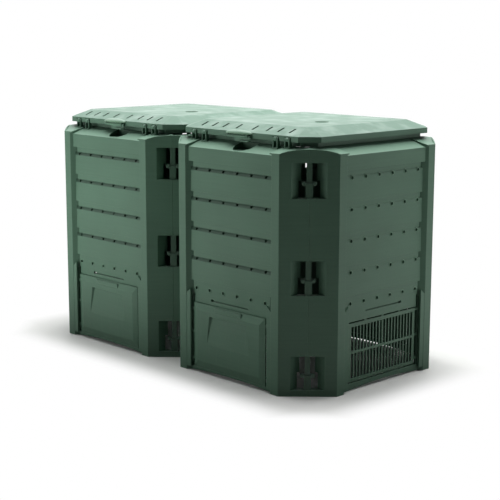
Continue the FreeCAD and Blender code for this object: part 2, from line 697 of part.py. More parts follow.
def make_lid(name):
    """Hollow lid: skirt, sloping shoulders, flat crown, inner ring, hinge hooks and latch ears."""
    body = new_body(name)
    pad(body, [lid_outline("0")], start=lid_bottom, length="lid_skirt")
    loft(body, "AdditiveLoft", [(lid_outline("0"), lid_edge),
                                (lid_outline("lid_slope_run"), lid_top)])
    under_edge = f"({lid_edge} - 0.7 * lid_skin)"
    cut(body, [lid_outline("lid_skin")], start=lid_bottom, length=f"{under_edge} - {lid_bottom}")
    loft(body, "SubtractiveLoft", [(lid_outline("lid_skin"), under_edge),
                                   (lid_outline("lid_slope_run + 0.2 * lid_skin"),
                                    f"{lid_top} - lid_skin")])
    ring = lid_outline("ring_inset"), lid_outline("ring_inset + ring_wall")
    pad(body, ring, start=f"{rim_top} + ring_lift",
        length=f"{lid_edge} + ring_inset * {lid_slope} - 0.5 * lid_skin - {rim_top} - ring_lift")
    slots, openings = [], []
    for side in (1, -1):
        for place_along in SLOT_PLACES:
            for across in (place_along, -place_along):
                slots.append(box_corners(
                    f"{across} - slot_width / 2", f"{across} + slot_width / 2",
                    f"{side} * ({lid_half} - slot_inset)",
                    f"{side} * ({lid_half} - slot_inset - slot_length)"))
        openings += [box_corners(f"{across} - hinge_opening_half", f"{across} + hinge_opening_half",
                                 f"{side} * ({lid_half} - lid_skin)", f"{side} * ({lid_half} + 1)")
                     for across in HOOK_PLACES]
    cut(body, slots, start=f"{lid_edge} + slot_inset * {lid_slope} - lid_skin - 1",
        length="lid_rise + 2 * lid_skin")
    cut(body, openings, start=lid_bottom, length=f"{under_edge} - 1.7 - {lid_bottom}")
    add_hooks(body)
    add_latch_seat(body)
    return body


def add_hooks(body):
    """Snap hooks that turn on the back pins, and open hooks that drop over the front pins."""
    wall = "(hinge_pin_radius + hinge_hook_wall)"
    root = f"({lid_edge} + (hinge_inset + hinge_pin_radius) * {lid_slope} - 0.6 * lid_skin)"
    hooks, mouths = [], []
    for side in (1, -1):
        web = [(f"{side} * {hinge_back}", hinge_height),
               (f"{side} * ({hinge_back} - {wall})", hinge_height),
               (f"{side} * ({hinge_back} - {wall})", f"{root} + 1"),
               (f"{side} * {hinge_back}", f"{root} - 1")]
        hooks.append(web)
        gap = "(0.75 * hinge_pin_radius)" if side == 1 else "(hinge_pin_radius + 0.3)"
        mouths.append(box_corners(f"{side} * {hinge_back} - {gap}",
                                  f"{side} * {hinge_back} + {gap}",
                                  f"{hinge_height} - 2 * {wall}", hinge_height))
    barrels = [(f"{side} * {hinge_back}", hinge_height, wall) for side in (1, -1)]
    for across in HOOK_PLACES:
        start = f"{across} - hinge_hook_half"
        pad(body, hooks, plane="YZ", start=start, length="2 * hinge_hook_half")
        pad(body, circles=barrels, plane="YZ", start=start, length="2 * hinge_hook_half")
        cut(body, mouths, plane="YZ", start=start, length="2 * hinge_hook_half")
        cut(body, circles=[(hinge_back, hinge_height, "hinge_pin_radius + hinge_running"),
                           (f"-{hinge_back}", hinge_height, "hinge_pin_radius + 0.3")],
            plane="YZ", start=start, length="2 * hinge_hook_half")


def add_latch_seat(body):
    """Half-round canopy over the latch, and the two ears that carry its pin."""
    reach = "(latch_reach + latch_barrel)"
    canopy = [(f"{turn} * latch_half", f"-{lid_half} - {out} * {reach}")
              for turn, out in ((-1, 0), (-0.8, 0.6), (-0.5, 0.87), (0, 1), (0.5, 0.87),
                                (0.8, 0.6), (1, 0))]
    canopy += [("latch_half", f"2 - {lid_half}"), ("-latch_half", f"2 - {lid_half}")]
    pad(body, [canopy], start=f"{lid_edge} - lid_skin - 0.5", length="lid_skin")
    ear_top = f"{lid_edge} - lid_skin"
    front = f"-{lid_half} - latch_reach"
    ear = [(f"2 - {lid_half}", ear_top), (f"{front} - 3", ear_top),
           (f"{front} - latch_barrel", latch_height),
           (f"{front} - 2", f"{latch_height} - latch_barrel"),
           (f"2 - {lid_half}", f"{latch_height} - latch_barrel")]
    for across in ("latch_ear_side", "-latch_ear_side"):
        start = f"{across} - latch_ear / 2"
        pad(body, [ear], plane="YZ", start=start, length="latch_ear")
        cut(body, circles=[(front, latch_height, "latch_pin_radius")], plane="YZ", start=start,
            length="latch_ear")


def make_latch(name):
    """Finger lever: a barrel round the pin, a hanging plate and a tongue to pull."""
    body = new_body(name)
    front = f"(-{lid_half} - latch_reach)"
    plate_back = f"{front} + latch_plate / 2"
    plate_front = f"{front} - latch_plate / 2"
    low = f"{latch_height} - latch_drop"
    pad(body, [box_corners(plate_back, plate_front, low, latch_height)], plane="YZ",
        length="2 * latch_half", middle=True)
    pad(body, circles=[(front, latch_height, "latch_barrel")], plane="YZ",
        length="2 * latch_half", middle=True)
    notches = box_corners("latch_ear_side - latch_ear / 2 - 0.4",
                          "latch_ear_side + latch_ear / 2 + 0.4",
                          f"{latch_height} - latch_barrel - 1.5",
                          f"{latch_height} + 2 * latch_barrel")
    cut(body, both_sides(notches), plane="XZ")
    cut(body, circles=[(front, latch_height, "latch_pin_radius + latch_running")], plane="YZ")
    tongue = [(plate_back, f"{low}"), (plate_back, f"{low} + 5"), (plate_front, f"{low} + 5"),
              (f"{plate_front} - latch_tongue", f"{low} + 4.5"),
              (f"{plate_front} - latch_tongue", f"{low} + 2")]
    pad(body, [tongue], plane="YZ", start="scoop_side - 21", length="42")
    return body


def make_latch_pin(name):
    body = new_body(name)
    pad(body, circles=[(f"-{lid_half} - latch_reach", latch_height, "latch_pin_radius")],
        plane="YZ", length="2 * latch_half", middle=True)
    return body


def make_hinge_brackets(name):
    """Brackets on the rim, one for each hook, with a sloping base and two ears."""
    body = new_body(name, group=True)
    half = "(hinge_ear_half + 2)"
    on_rim = f"(half_width - {hinge_back})"
    outer = "(hinge_hook_half + hinge_side_gap + hinge_ear)"
    for across, over_post in zip(HOOK_PLACES, (True, False, False, True)):

        def height_at(offset):
            if over_post:
                return f"wall_height + {slope} * ({on_rim} - ({offset}))"
            return f"{shelf_low} + {shelf_slope} * ({on_rim} - ({offset}) - band_depth)"

        base = [(f"{hinge_back} - {half}", height_at(f"-{half}")),
                (f"{hinge_back} + {half}", height_at(half)),
                (f"{hinge_back} + {half}", f"{height_at(half)} + 3.5"),
                (f"{hinge_back} - {half}", f"{height_at(f'-{half}')} + 3.5")]
        ear = [(f"{hinge_back} - hinge_ear_half", f"{height_at('-hinge_ear_half')} + 1"),
               (f"{hinge_back} + hinge_ear_half", f"{height_at('hinge_ear_half')} + 1"),
               (f"{hinge_back} + hinge_ear_half", hinge_height),
               (f"{hinge_back} - hinge_ear_half", hinge_height)]
        pad(body, [base], plane="YZ", start=f"{across} - {outer}", length=f"2 * {outer}")
        for start in (f"{across} - {outer}", f"{across} + {outer} - hinge_ear"):
            pad(body, [ear], plane="YZ", start=start, length="hinge_ear")
            pad(body, circles=[(hinge_back, hinge_height, "hinge_ear_half")], plane="YZ",
                start=start, length="hinge_ear")
    cut(body, circles=[(hinge_back, hinge_height, "hinge_pin_radius")], plane="YZ")
    return body


def make_hinge_pins(name):
    body = new_body(name, group=True)
    half = "(hinge_hook_half + hinge_side_gap + hinge_ear)"
    for across in HOOK_PLACES:
        pad(body, circles=[(hinge_back, hinge_height, "hinge_pin_radius")], plane="YZ",
            start=f"{across} - {half}", length=f"2 * {half}")
    return body


def check_document(nodes):
    for item in doc.Objects:
        if "Invalid" in item.State or "Error" in item.State:
            raise RuntimeError(f"{item.Name} of {item.Label} failed: {item.State}")
        takes_away = item.isDerivedFrom("PartDesign::Pocket") or "Subtractive" in item.TypeId
        if takes_away and item.Shape.Volume > item.BaseFeature.Shape.Volume - 0.01:
            raise RuntimeError(f"{item.Name} cuts nothing")
    for node in nodes:
        if node.Shape.isNull() or not node.Shape.isValid():
            raise RuntimeError(node.Label + " has no valid shape")


def export_all(nodes):
    os.makedirs("parts", exist_ok=True)
    for node in nodes:
        node.Shape.exportStep(os.path.join("parts", node.Label + ".step"))


panel_front = make_panel("panel_front", True)
panel_vent = make_panel("panel_vent", False)
chambers = (("left", "-chamber_pitch / 2"), ("right", "chamber_pitch / 2"))
templates = {
    "door": make_door("door_plain"),
    "vent_grille": make_grille("grille_plain"),
    "corner_clips": make_clips("clips_plain"),
    "lid": make_lid("lid_plain"),
    "latch_lever": make_latch("latch_plain"),
    "latch_pin": make_latch_pin("latch_pin_plain"),
    "hinge_brackets": make_hinge_brackets("hinge_brackets_plain"),
    "hinge_pins": make_hinge_pins("hinge_pins_plain"),
}
nodes = []


def add_node(name, source, across, back, turn=0):
    body = copy_body(name, source)
    body.AllowCompound = True
    place(body, across, back, turn=turn)
    nodes.append(body)


for side, middle in chambers:
    sign = -1 if side == "left" else 1
    outer_face = f"{sign} * (chamber_pitch / 2 + half_width)"
    add_node(f"wall_front_{side}", panel_front, middle, "-half_width")
    add_node(f"wall_back_{side}", panel_front, middle, "half_width", 180)
    add_node(f"wall_side_{side}", panel_vent, outer_face, "0", sign * 90)
    add_node(f"door_front_{side}", templates["door"], middle, "-half_width")
    add_node(f"door_back_{side}", templates["door"], middle, "half_width", 180)
    add_node(f"vent_grille_side_{side}", templates["vent_grille"], outer_face, "0", sign * 90)
    for end, way in (("front", -1), ("back", 1)):
        # A clip's own outer face looks towards -Y; it turns to look out of its corner.
        for spot, reach, out in (("outer", 1, 1), ("inner", -1, -1)):
            add_node(f"corner_clips_{end}_{spot}_{side}", templates["corner_clips"],
                     f"{middle} + {sign * reach} * {seam}", f"{way} * {seam}",
                     45 * sign * out if way == -1 else 180 - 45 * sign * out)
    add_node(f"lid_{side}", templates["lid"], middle, "0")
    add_node(f"latch_lever_{side}", templates["latch_lever"], middle, "0")
    add_node(f"latch_pin_{side}", templates["latch_pin"], middle, "0")
    for end, turn in (("back", 0), ("front", 180)):
        add_node(f"hinge_brackets_{end}_{side}", templates["hinge_brackets"], middle, "0", turn)
        add_node(f"hinge_pins_{end}_{side}", templates["hinge_pins"], middle, "0", turn)
nodes.append(make_divider("wall_divider"))
doc.recompute()
check_document(nodes)
export_all(nodes)
for node in nodes:
    box = node.Shape.BoundBox
    print(node.Label, len(node.Shape.Solids), round(node.Shape.Volume / 1000), "cm3",
          [round(v, 1) for v in (box.XMin, box.XMax, box.YMin, box.YMax, box.ZMin, box.ZMax)])
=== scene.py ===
"""Twin garden composter in moulded green plastic, dressed and lit like a catalogue picture."""
import bpy
import bmesh
import math
from mathutils import Matrix, Vector


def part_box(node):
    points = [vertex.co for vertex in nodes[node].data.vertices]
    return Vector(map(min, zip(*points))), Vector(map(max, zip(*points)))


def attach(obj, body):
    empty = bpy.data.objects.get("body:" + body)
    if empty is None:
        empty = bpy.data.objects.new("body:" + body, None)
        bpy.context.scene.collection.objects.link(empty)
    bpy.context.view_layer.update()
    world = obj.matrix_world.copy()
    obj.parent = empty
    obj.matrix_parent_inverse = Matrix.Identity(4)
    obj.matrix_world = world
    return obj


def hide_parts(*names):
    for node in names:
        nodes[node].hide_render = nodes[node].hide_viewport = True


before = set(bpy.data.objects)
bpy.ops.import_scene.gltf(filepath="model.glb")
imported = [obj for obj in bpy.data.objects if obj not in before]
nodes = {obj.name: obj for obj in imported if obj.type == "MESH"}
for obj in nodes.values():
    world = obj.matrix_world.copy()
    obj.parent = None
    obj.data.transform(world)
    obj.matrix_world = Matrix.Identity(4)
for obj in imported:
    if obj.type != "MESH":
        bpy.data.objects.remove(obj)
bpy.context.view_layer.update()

# Wall panels: six louvred outer walls and the plain wall between the two chambers. Each is one
# injection moulding in polypropylene, with a satin skin from the mould's spark grain. Their
# edges are clipped together at the corners.


def linear(hex_colour):
    """A linear colour from an sRGB hex value."""
    channels = [int(hex_colour[i:i + 2], 16) / 255 for i in (1, 3, 5)]
    return [c / 12.92 if c <= 0.04045 else ((c + 0.055) / 1.055) ** 2.4 for c in channels] + [1.0]


def add(tree, kind, links=None, **settings):
    """A shader node with its settings, socket values and links from other nodes' outputs."""
    node = tree.nodes.new("ShaderNode" + kind)
    for name, value in settings.items():
        setattr(node, name, value)
    for socket, source in (links or {}).items():
        if isinstance(source, bpy.types.NodeSocket):
            tree.links.new(source, node.inputs[socket])
        else:
            node.inputs[socket].default_value = source
    return node


def moulded_plastic(name, colour, wear_and_edge_highlight, top_lit_colour="#86a593", top_light_share=0.25, roughness=0.42,
                    edge=1.2, grain=0.8, wave=0.0, scuffs=0.0, sheen_patches=0.0,
                    crease_shade_most=0.45, groove_shade=False):
    """Injection moulded polypropylene, dull green with soft clouds of pigment and flow lines.

    edge and grain are in millimetres: the round of a moulded edge, which also sets a band of
    painted highlight along it, and the mould's spark grain. The pale colour given after the body
    colour is both the wear of the scuffs and that painted edge highlight. Faces that look up when
    the lids are closed get painted top light: they are mixed towards a paler colour by the share
    given. wave is the height in millimetres of the slow swell in a wide thin sheet, scuffs the
    strength of upright sliding marks, and the patch strength that of mottled patches of painted
    highlight on the upward faces. Painted shade darkens the creases up to the greatest share
    given, and with the groove switch also the groove over each front and back board.
    """
    material = bpy.data.materials.new(name)
    material.use_nodes = True
    tree = material.node_tree
    tree.nodes.clear()
    piece = add(tree, "TexCoord")
    place = piece.outputs["Object"]
    clouds = add(tree, "TexNoise", {"Vector": place, "Scale": 1000 / 160, "Detail": 3.0})
    flecks = add(tree, "TexNoise", {"Vector": place, "Scale": 1000 / 5, "Detail": 1.0})
    soft = add(tree, "MapRange", {"Value": clouds.outputs["Fac"], "From Min": 0.3,
                                  "From Max": 0.7, "To Min": 0.95, "To Max": 1.06})
    fine = add(tree, "MapRange", {"Value": flecks.outputs["Fac"], "From Min": 0.3,
                                  "From Max": 0.7, "To Min": 0.98, "To Max": 1.02})
    lying = add(tree, "Mapping", {"Vector": place, "Scale": (0.04, 0.04, 1.0)})
    flow = add(tree, "TexNoise", {"Vector": lying.outputs[0], "Scale": 1000 / 7, "Detail": 2.0})
    drawn = add(tree, "MapRange", {"Value": flow.outputs["Fac"], "From Min": 0.3,
                                   "From Max": 0.7, "To Min": 0.965, "To Max": 1.035})
    shade = drawn.outputs["Result"]
    for part in (soft, fine):
        shade = add(tree, "Math", {0: shade, 1: part.outputs["Result"]},
                    operation="MULTIPLY").outputs[0]
    body = add(tree, "VectorMath", {0: linear(colour)[:3], "Scale": shade},
               operation="SCALE")
    upward = add(tree, "SeparateXYZ", {0: piece.outputs["Normal"]})
    # Painted top light: faces that look up are mixed towards a paler green, which stands in for
    # the light and sheen that fall on top surfaces.
    painted_top_light = add(tree, "MapRange", {"Value": upward.outputs["Z"], "From Min": 0.35,
                                    "From Max": 0.95, "To Min": 0.0, "To Max": top_light_share})
    skin = add(tree, "Mix", {0: painted_top_light.outputs["Result"], 6: body.outputs["Vector"],
                             7: linear(top_lit_colour)}, data_type="RGBA")
    # Painted highlight: mottled paler patches on the upward faces stand in for sheen on a
    # slightly uneven sheet.
    if sheen_patches:
        sheet = add(tree, "Mapping", {"Vector": place, "Scale": (1.0, 1.0, 0.2)})
        sheen_noise = add(tree, "TexNoise", {"Vector": sheet.outputs[0], "Scale": 1000 / 75,
                                       "Detail": 3.0, "Roughness": 0.5})
        sheen_patch = add(tree, "MapRange", {"Value": sheen_noise.outputs["Fac"], "From Min": 0.46,
                                       "From Max": 0.66, "To Min": 0.0, "To Max": sheen_patches})
        painted_sheen = add(tree, "Math", {0: sheen_patch.outputs["Result"], 1: painted_top_light.outputs["Result"]},
                      operation="MULTIPLY")
        skin = add(tree, "Mix", {0: painted_sheen.outputs[0], 6: skin.outputs[2],
                                 7: linear("#93a89d")}, data_type="RGBA")
    if scuffs:
        streaks = add(tree, "Mapping", {"Vector": place, "Scale": (1.0, 1.0, 0.03)})
        rubs = add(tree, "TexNoise", {"Vector": streaks.outputs[0], "Scale": 1000 / 4,
                                      "Detail": 2.0})
        rubbing = add(tree, "MapRange", {"Value": rubs.outputs["Fac"], "From Min": 0.6,
                                         "From Max": 0.8, "To Min": 0.0, "To Max": scuffs})
        skin = add(tree, "Mix", {0: rubbing.outputs["Result"], 6: skin.outputs[2],
                                 7: linear(wear_and_edge_highlight)}, data_type="RGBA")
    # Painted shade: creases found by ambient occlusion are darkened towards a dark green.
    crease = add(tree, "AmbientOcclusion", {"Distance": 0.014}, samples=6, only_local=True)
    crease_shade = add(tree, "MapRange", {"Value": crease.outputs["AO"], "From Min": 0.75,
                                   "From Max": 0.25, "To Min": 0.0, "To Max": crease_shade_most})
    painted_shade = crease_shade.outputs["Result"]
    # Painted shade: a dark band along the groove over each front and back board, where the board
    # above shades it.
    if groove_shade:
        axes = add(tree, "SeparateXYZ", {0: place})
        above = add(tree, "Math", {0: axes.outputs["Z"], 1: lowest_groove}, operation="SUBTRACT")
        off = add(tree, "Math", {0: above.outputs[0], 1: row_pitch / 2}, operation="PINGPONG")
        line = add(tree, "MapRange", {"Value": off.outputs[0], "From Min": groove_half_height,
                                      "From Max": groove_half_height + groove_blur,
                                      "To Min": 0.7, "To Max": 0.0})
        high = add(tree, "Math", {0: above.outputs[0], 1: -row_pitch / 2},
                   operation="GREATER_THAN")
        back = add(tree, "Math", {0: axes.outputs["Y"]}, operation="ABSOLUTE")
        sunk = add(tree, "Math", {0: back.outputs[0], 1: groove_face, 2: groove_depth_half},
                   operation="COMPARE")
        side = add(tree, "Math", {0: axes.outputs["X"]}, operation="ABSOLUTE")
        inner = add(tree, "Math", {0: side.outputs[0], 1: chamber_middle, 2: groove_half_width},
                    operation="COMPARE")
        for mask in (high, sunk, inner):
            line = add(tree, "Math", {0: line.outputs[0], 1: mask.outputs[0]},
                       operation="MULTIPLY")
        painted_shade = add(tree, "Math", {0: painted_shade, 1: line.outputs[0]}, operation="MAXIMUM").outputs[0]
    # The painted shade of creases and grooves is mixed in here, towards a dark green.
    skin = add(tree, "Mix", {0: painted_shade, 6: skin.outputs[2], 7: linear("#223a2d")},
               data_type="RGBA")
    # Painted highlight: a paler band along each rounded edge, found from the bevelled normal. The
    # same paler colour also serves the scuffs, which are wear.
    rounded = add(tree, "Bevel", {"Radius": edge * 0.001}, samples=4)
    flat = add(tree, "NewGeometry")
    facing = add(tree, "VectorMath", {0: rounded.outputs["Normal"], 1: flat.outputs["Normal"]},
                 operation="DOT_PRODUCT")
    painted_edge_highlight = add(tree, "MapRange", {"Value": facing.outputs["Value"], "From Min": 0.99,
                                    "From Max": 0.8, "To Min": 0.0, "To Max": 0.35})
    skin = add(tree, "Mix", {0: painted_edge_highlight.outputs["Result"], 6: skin.outputs[2],
                             7: linear(wear_and_edge_highlight)}, data_type="RGBA")
    normal = rounded.outputs["Normal"]
    if wave:
        swell = add(tree, "TexNoise", {"Vector": place, "Scale": 1000 / 110, "Detail": 1.5})
        normal = add(tree, "Bump", {"Height": swell.outputs["Fac"], "Strength": 1.0,
                                    "Distance": wave * 0.001, "Normal": normal}).outputs[0]
    spark = add(tree, "TexNoise", {"Vector": place, "Scale": 1000 / grain, "Detail": 2.0})
    normal = add(tree, "Bump", {"Height": spark.outputs["Fac"], "Strength": 0.25,
                                "Distance": 0.0001, "Normal": normal}).outputs[0]
    handled = add(tree, "TexNoise", {"Vector": place, "Scale": 1000 / 40, "Detail": 3.0})
    satin = add(tree, "MapRange", {"Value": handled.outputs["Fac"], "From Min": 0.3,
                                   "From Max": 0.7, "To Min": roughness - 0.05,
                                   "To Max": roughness + 0.07})
    shader = add(tree, "BsdfPrincipled", {"Base Color": skin.outputs[2],
                                          "Roughness": satin.outputs["Result"],
                                          "IOR": 1.49, "Specular IOR Level": 0.45,
                                          "Normal": normal})
    add(tree, "OutputMaterial", {"Surface": shader.outputs[0]})
    return material


def dress(start, material):
    """Gives the material to every CAD piece whose name begins with start."""
    for name, node in nodes.items():
        if name.startswith(start):
            for slot in node.material_slots:
                slot.material = material


def finish_piece(name, shape, material, body):
    """Turns a finished bmesh into a piece of the green plastic that moves with its body."""
    mesh = bpy.data.meshes.new(name)
    shape.to_mesh(mesh)
    shape.free()
    mesh.materials.append(material)
    piece = bpy.data.objects.new(name, mesh)
    bpy.context.collection.objects.link(piece)
    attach(piece, body)
    return piece


wall_green = "#4c6b58"
chamber_middle, lowest_row, row_pitch = 0.3155, 0.2818, 0.0983
# These place the band of painted groove shade on the front and back walls.
lowest_groove, groove_half_height, groove_blur = lowest_row + row_pitch, 0.0058, 0.0012
groove_face, groove_depth_half, groove_half_width = 0.3436, 0.0028, 0.185
wall_plastic = moulded_plastic("moulded polypropylene wall", wall_green, "#7d9c8a",
                               top_light_share=0.45, groove_shade=True)
dress("wall_", wall_plastic)

# Collars round the air holes: low moulded rings, on all rows of the side walls and on the row
# over each hatch. They are part of the wall's moulding; their paler green is painted highlight.
wall_face, hole_depth, collar_proud = 0.3595, 0.0145, 0.0022
hole_radius, collar_radius, hole_pitch = 0.0054, 0.0078, 0.064
holes_in_row, side_rows = 6, 5
highlighted_collar_plastic = moulded_plastic("moulded polypropylene collar", "#63866f", "#8fae9c",
                                 edge=0.8, crease_shade_most=0.0)
collar_walls = {"side_left": (-1, 0), "side_right": (1, 0), "front_left": (-1, -1),
                "front_right": (1, -1), "back_left": (-1, 1), "back_right": (1, 1)}
for wall, (chamber, way) in collar_walls.items():
    shape = bmesh.new()
    for row in range(1 if way else side_rows):
        for column in range(holes_in_row):
            along = (column - (holes_in_row - 1) / 2) * hole_pitch
            section = [(hole_radius, 0.0), (hole_radius + 0.0002, collar_proud),
                       (collar_radius - 0.0006, collar_proud), (collar_radius, 0.0)]
            ring = [shape.verts.new((out, 0, up)) for out, up in section]
            rims = [shape.edges.new(pair) for pair in zip(ring, ring[1:] + ring[:1])]
            spun = bmesh.ops.spin(shape, geom=ring + rims, cent=(0, 0, 0), axis=(0, 0, 1),
                                  angle=2 * math.pi, steps=14, use_merge=True)
            fresh = [vert for vert in shape.verts if not vert.tag]
            up = lowest_row + row * row_pitch
            if way:
                turn = Matrix.Rotation(math.radians(-90 * way), 4, "X")
                spot = (chamber * chamber_middle + along, way * (wall_face - hole_depth), up)
            else:
                turn = Matrix.Rotation(math.radians(90 * chamber), 4, "Y")
                spot = (chamber * (chamber_middle + wall_face - hole_depth), along, up)
            bmesh.ops.transform(shape, matrix=Matrix.Translation(spot) @ turn, verts=fresh)
            for vert in fresh:
                vert.tag = True
    bmesh.ops.recalc_face_normals(shape, faces=shape.faces)
    finish_piece(f"hole_collars_{wall}", shape, highlighted_collar_plastic, "bin")

# Corner clips: springy tongues and winged keys that are pushed through the corner windows and
# hold two flanges together. They are moulded in the same polypropylene in a darker green, with
# little painted top light and a wide painted highlight along their rounded edges.
dress("corner_clips_", moulded_plastic("moulded polypropylene clip", "#405c4b", "#9ab5a5",
                                       top_light_share=0.1, roughness=0.36, edge=2.4))

# Sliding doors: thin dished sheets, one low in each front and back wall. They run in the rails
# beside the opening, which leaves fine upright marks on the moulding.
dress("door_", moulded_plastic("moulded polypropylene door", "#4b6a57", "#7d9c8a",
                               roughness=0.40, edge=1.6, scuffs=0.12))

# Vent grilles: open frames of thin bars that snap into the side walls by small tabs. They are
# moulded in the same green, and their many edges catch more light.
dress("vent_grille_", moulded_plastic("moulded polypropylene grille", "#4a6955", "#7d9c8a",
                                      roughness=0.38, edge=0.8))

# Hinge brackets and pins: small ears on the rim and short round pins. The brackets are moulded
# with the walls, and the pins are smooth so that the hooks of the lid turn on them.
dress("hinge_brackets_", moulded_plastic("moulded polypropylene bracket", wall_green, "#86a593",
                                         edge=0.8))
dress("hinge_pins_", moulded_plastic("moulded polypropylene hinge pin", "#435f4f", "#7d9c8a",
                                     roughness=0.28, edge=0.6))

# Lids: wide thin trays turned over, with sloping edges and a row of slots for rain and air.
# A broad sheet cools unevenly, so its skin swells a little. Its upward faces carry painted top
# light, a paler green, with mottled patches of painted highlight.
lid_plastic = moulded_plastic("moulded polypropylene lid", "#4f6f5c", "#86a593",
                              top_lit_colour="#738e80", top_light_share=0.75, roughness=0.40, wave=1.8, sheen_patches=0.85)
dress("lid_", lid_plastic)

lid_middles = {"left": -chamber_middle, "right": chamber_middle}
crown_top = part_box("lid_right")[1][2]

# Ribs under each lid's crown: a square lattice that keeps the thin sheet flat. Moulded in one
# with the lid, they end where they meet its sloping edges.
rib_thickness, rib_depth, rib_pitch = 0.0025, 0.012, 0.090
rib_half, rib_foot_half, lid_sheet, rib_sunk = 0.2392, 0.2715, 0.004, 0.0003
rib_height = crown_top - lid_sheet - rib_depth / 2 + rib_sunk
for side, middle in lid_middles.items():
    shape = bmesh.new()
    for turn in (0, 90):
        for step in (-2, -1, 0, 1, 2):
            rib = bmesh.ops.create_cube(shape, size=1)["verts"]
            bmesh.ops.scale(shape, vec=(rib_thickness, 2 * rib_half, rib_depth), verts=rib)
            foot = [vert for vert in rib if vert.co.z < 0]
            bmesh.ops.scale(shape, vec=(0.8, rib_foot_half / rib_half, 1), verts=foot)
            bmesh.ops.translate(shape, vec=(step * rib_pitch, 0, 0), verts=rib)
            bmesh.ops.rotate(shape, cent=(0, 0, 0), verts=rib,
                             matrix=Matrix.Rotation(math.radians(turn), 3, "Z"))
    bmesh.ops.translate(shape, vec=(middle, 0, rib_height), verts=shape.verts)
    finish_piece(f"lid_ribs_{side}", shape, lid_plastic, f"lid_{side}")

# Gate mark: the low ring and dish that the moulding's feed leaves in each lid's crown.
# It is of the same plastic, and less than two millimetres high. Its darker green is painted
# shade in the dish.
gate_across, gate_back, gate_radius, gate_height = 0.122, -0.056, 0.021, 0.0016
shaded_gate_plastic = moulded_plastic("moulded polypropylene gate mark", "#3f5a4a", "#6f8a7c",
                               top_lit_colour="#4d6758", top_light_share=0.6, roughness=0.5)
for side, middle in lid_middles.items():
    shape = bmesh.new()
    section = [(gate_radius + 0.002, -0.0003), (gate_radius, gate_height),
               (gate_radius - 0.003, gate_height), (gate_radius - 0.007, 0.0002), (0.0, 0.0001)]
    row = [shape.verts.new((out, 0, up)) for out, up in section]
    for near, far in zip(row, row[1:]):
        shape.edges.new((near, far))
    bmesh.ops.spin(shape, geom=shape.verts[:] + shape.edges[:], cent=(0, 0, 0), axis=(0, 0, 1),
                   angle=2 * math.pi, steps=48, use_merge=True)
    bmesh.ops.remove_doubles(shape, verts=shape.verts, dist=1e-5)
    bmesh.ops.recalc_face_normals(shape, faces=shape.faces)
    bmesh.ops.translate(shape, vec=(middle + gate_across, gate_back, crown_top),
                        verts=shape.verts)
    finish_piece(f"gate_mark_{side}", shape, shaded_gate_plastic, f"lid_{side}")

# Latch pins and canopies: a half-round canopy on each lid's front edge, with a short smooth pin
# under it for the finger lever. The canopy is moulded with the lid. Its paler green is painted
# light, and its top carries painted top light like the lid's.
dress("latch_pin_", moulded_plastic("moulded polypropylene latch pin", "#435f4f", "#7d9c8a",
                                    roughness=0.28, edge=0.6))
lit_canopy_plastic = moulded_plastic("moulded polypropylene canopy", "#66876f", "#8fae9c",
                                 top_lit_colour="#8ca596", top_light_share=0.9, roughness=0.36, crease_shade_most=0.2)
canopy_half, canopy_reach, canopy_rise = 0.060, 0.0165, 0.0105
lid_front, canopy_height, canopy_floor = -0.305, 0.7975, 0.7960
for side, middle in lid_middles.items():
    shape = bmesh.new()
    bmesh.ops.create_uvsphere(shape, u_segments=56, v_segments=24, radius=1)
    bmesh.ops.scale(shape, vec=(canopy_half, canopy_reach, canopy_rise), verts=shape.verts)
    bmesh.ops.translate(shape, vec=(middle, lid_front, canopy_height), verts=shape.verts)
    cut = bmesh.ops.bisect_plane(shape, geom=shape.verts[:] + shape.edges[:] + shape.faces[:],
                                 plane_co=(0, 0, canopy_floor), plane_no=(0, 0, 1),
                                 clear_inner=True)["geom_cut"]
    rim = [part for part in cut if isinstance(part, bmesh.types.BMEdge)]
    bmesh.ops.holes_fill(shape, edges=rim)
    bmesh.ops.recalc_face_normals(shape, faces=shape.faces)
    for skin in shape.faces:
        skin.smooth = True
    finish_piece(f"latch_canopy_{side}", shape, lit_canopy_plastic, f"lid_{side}")

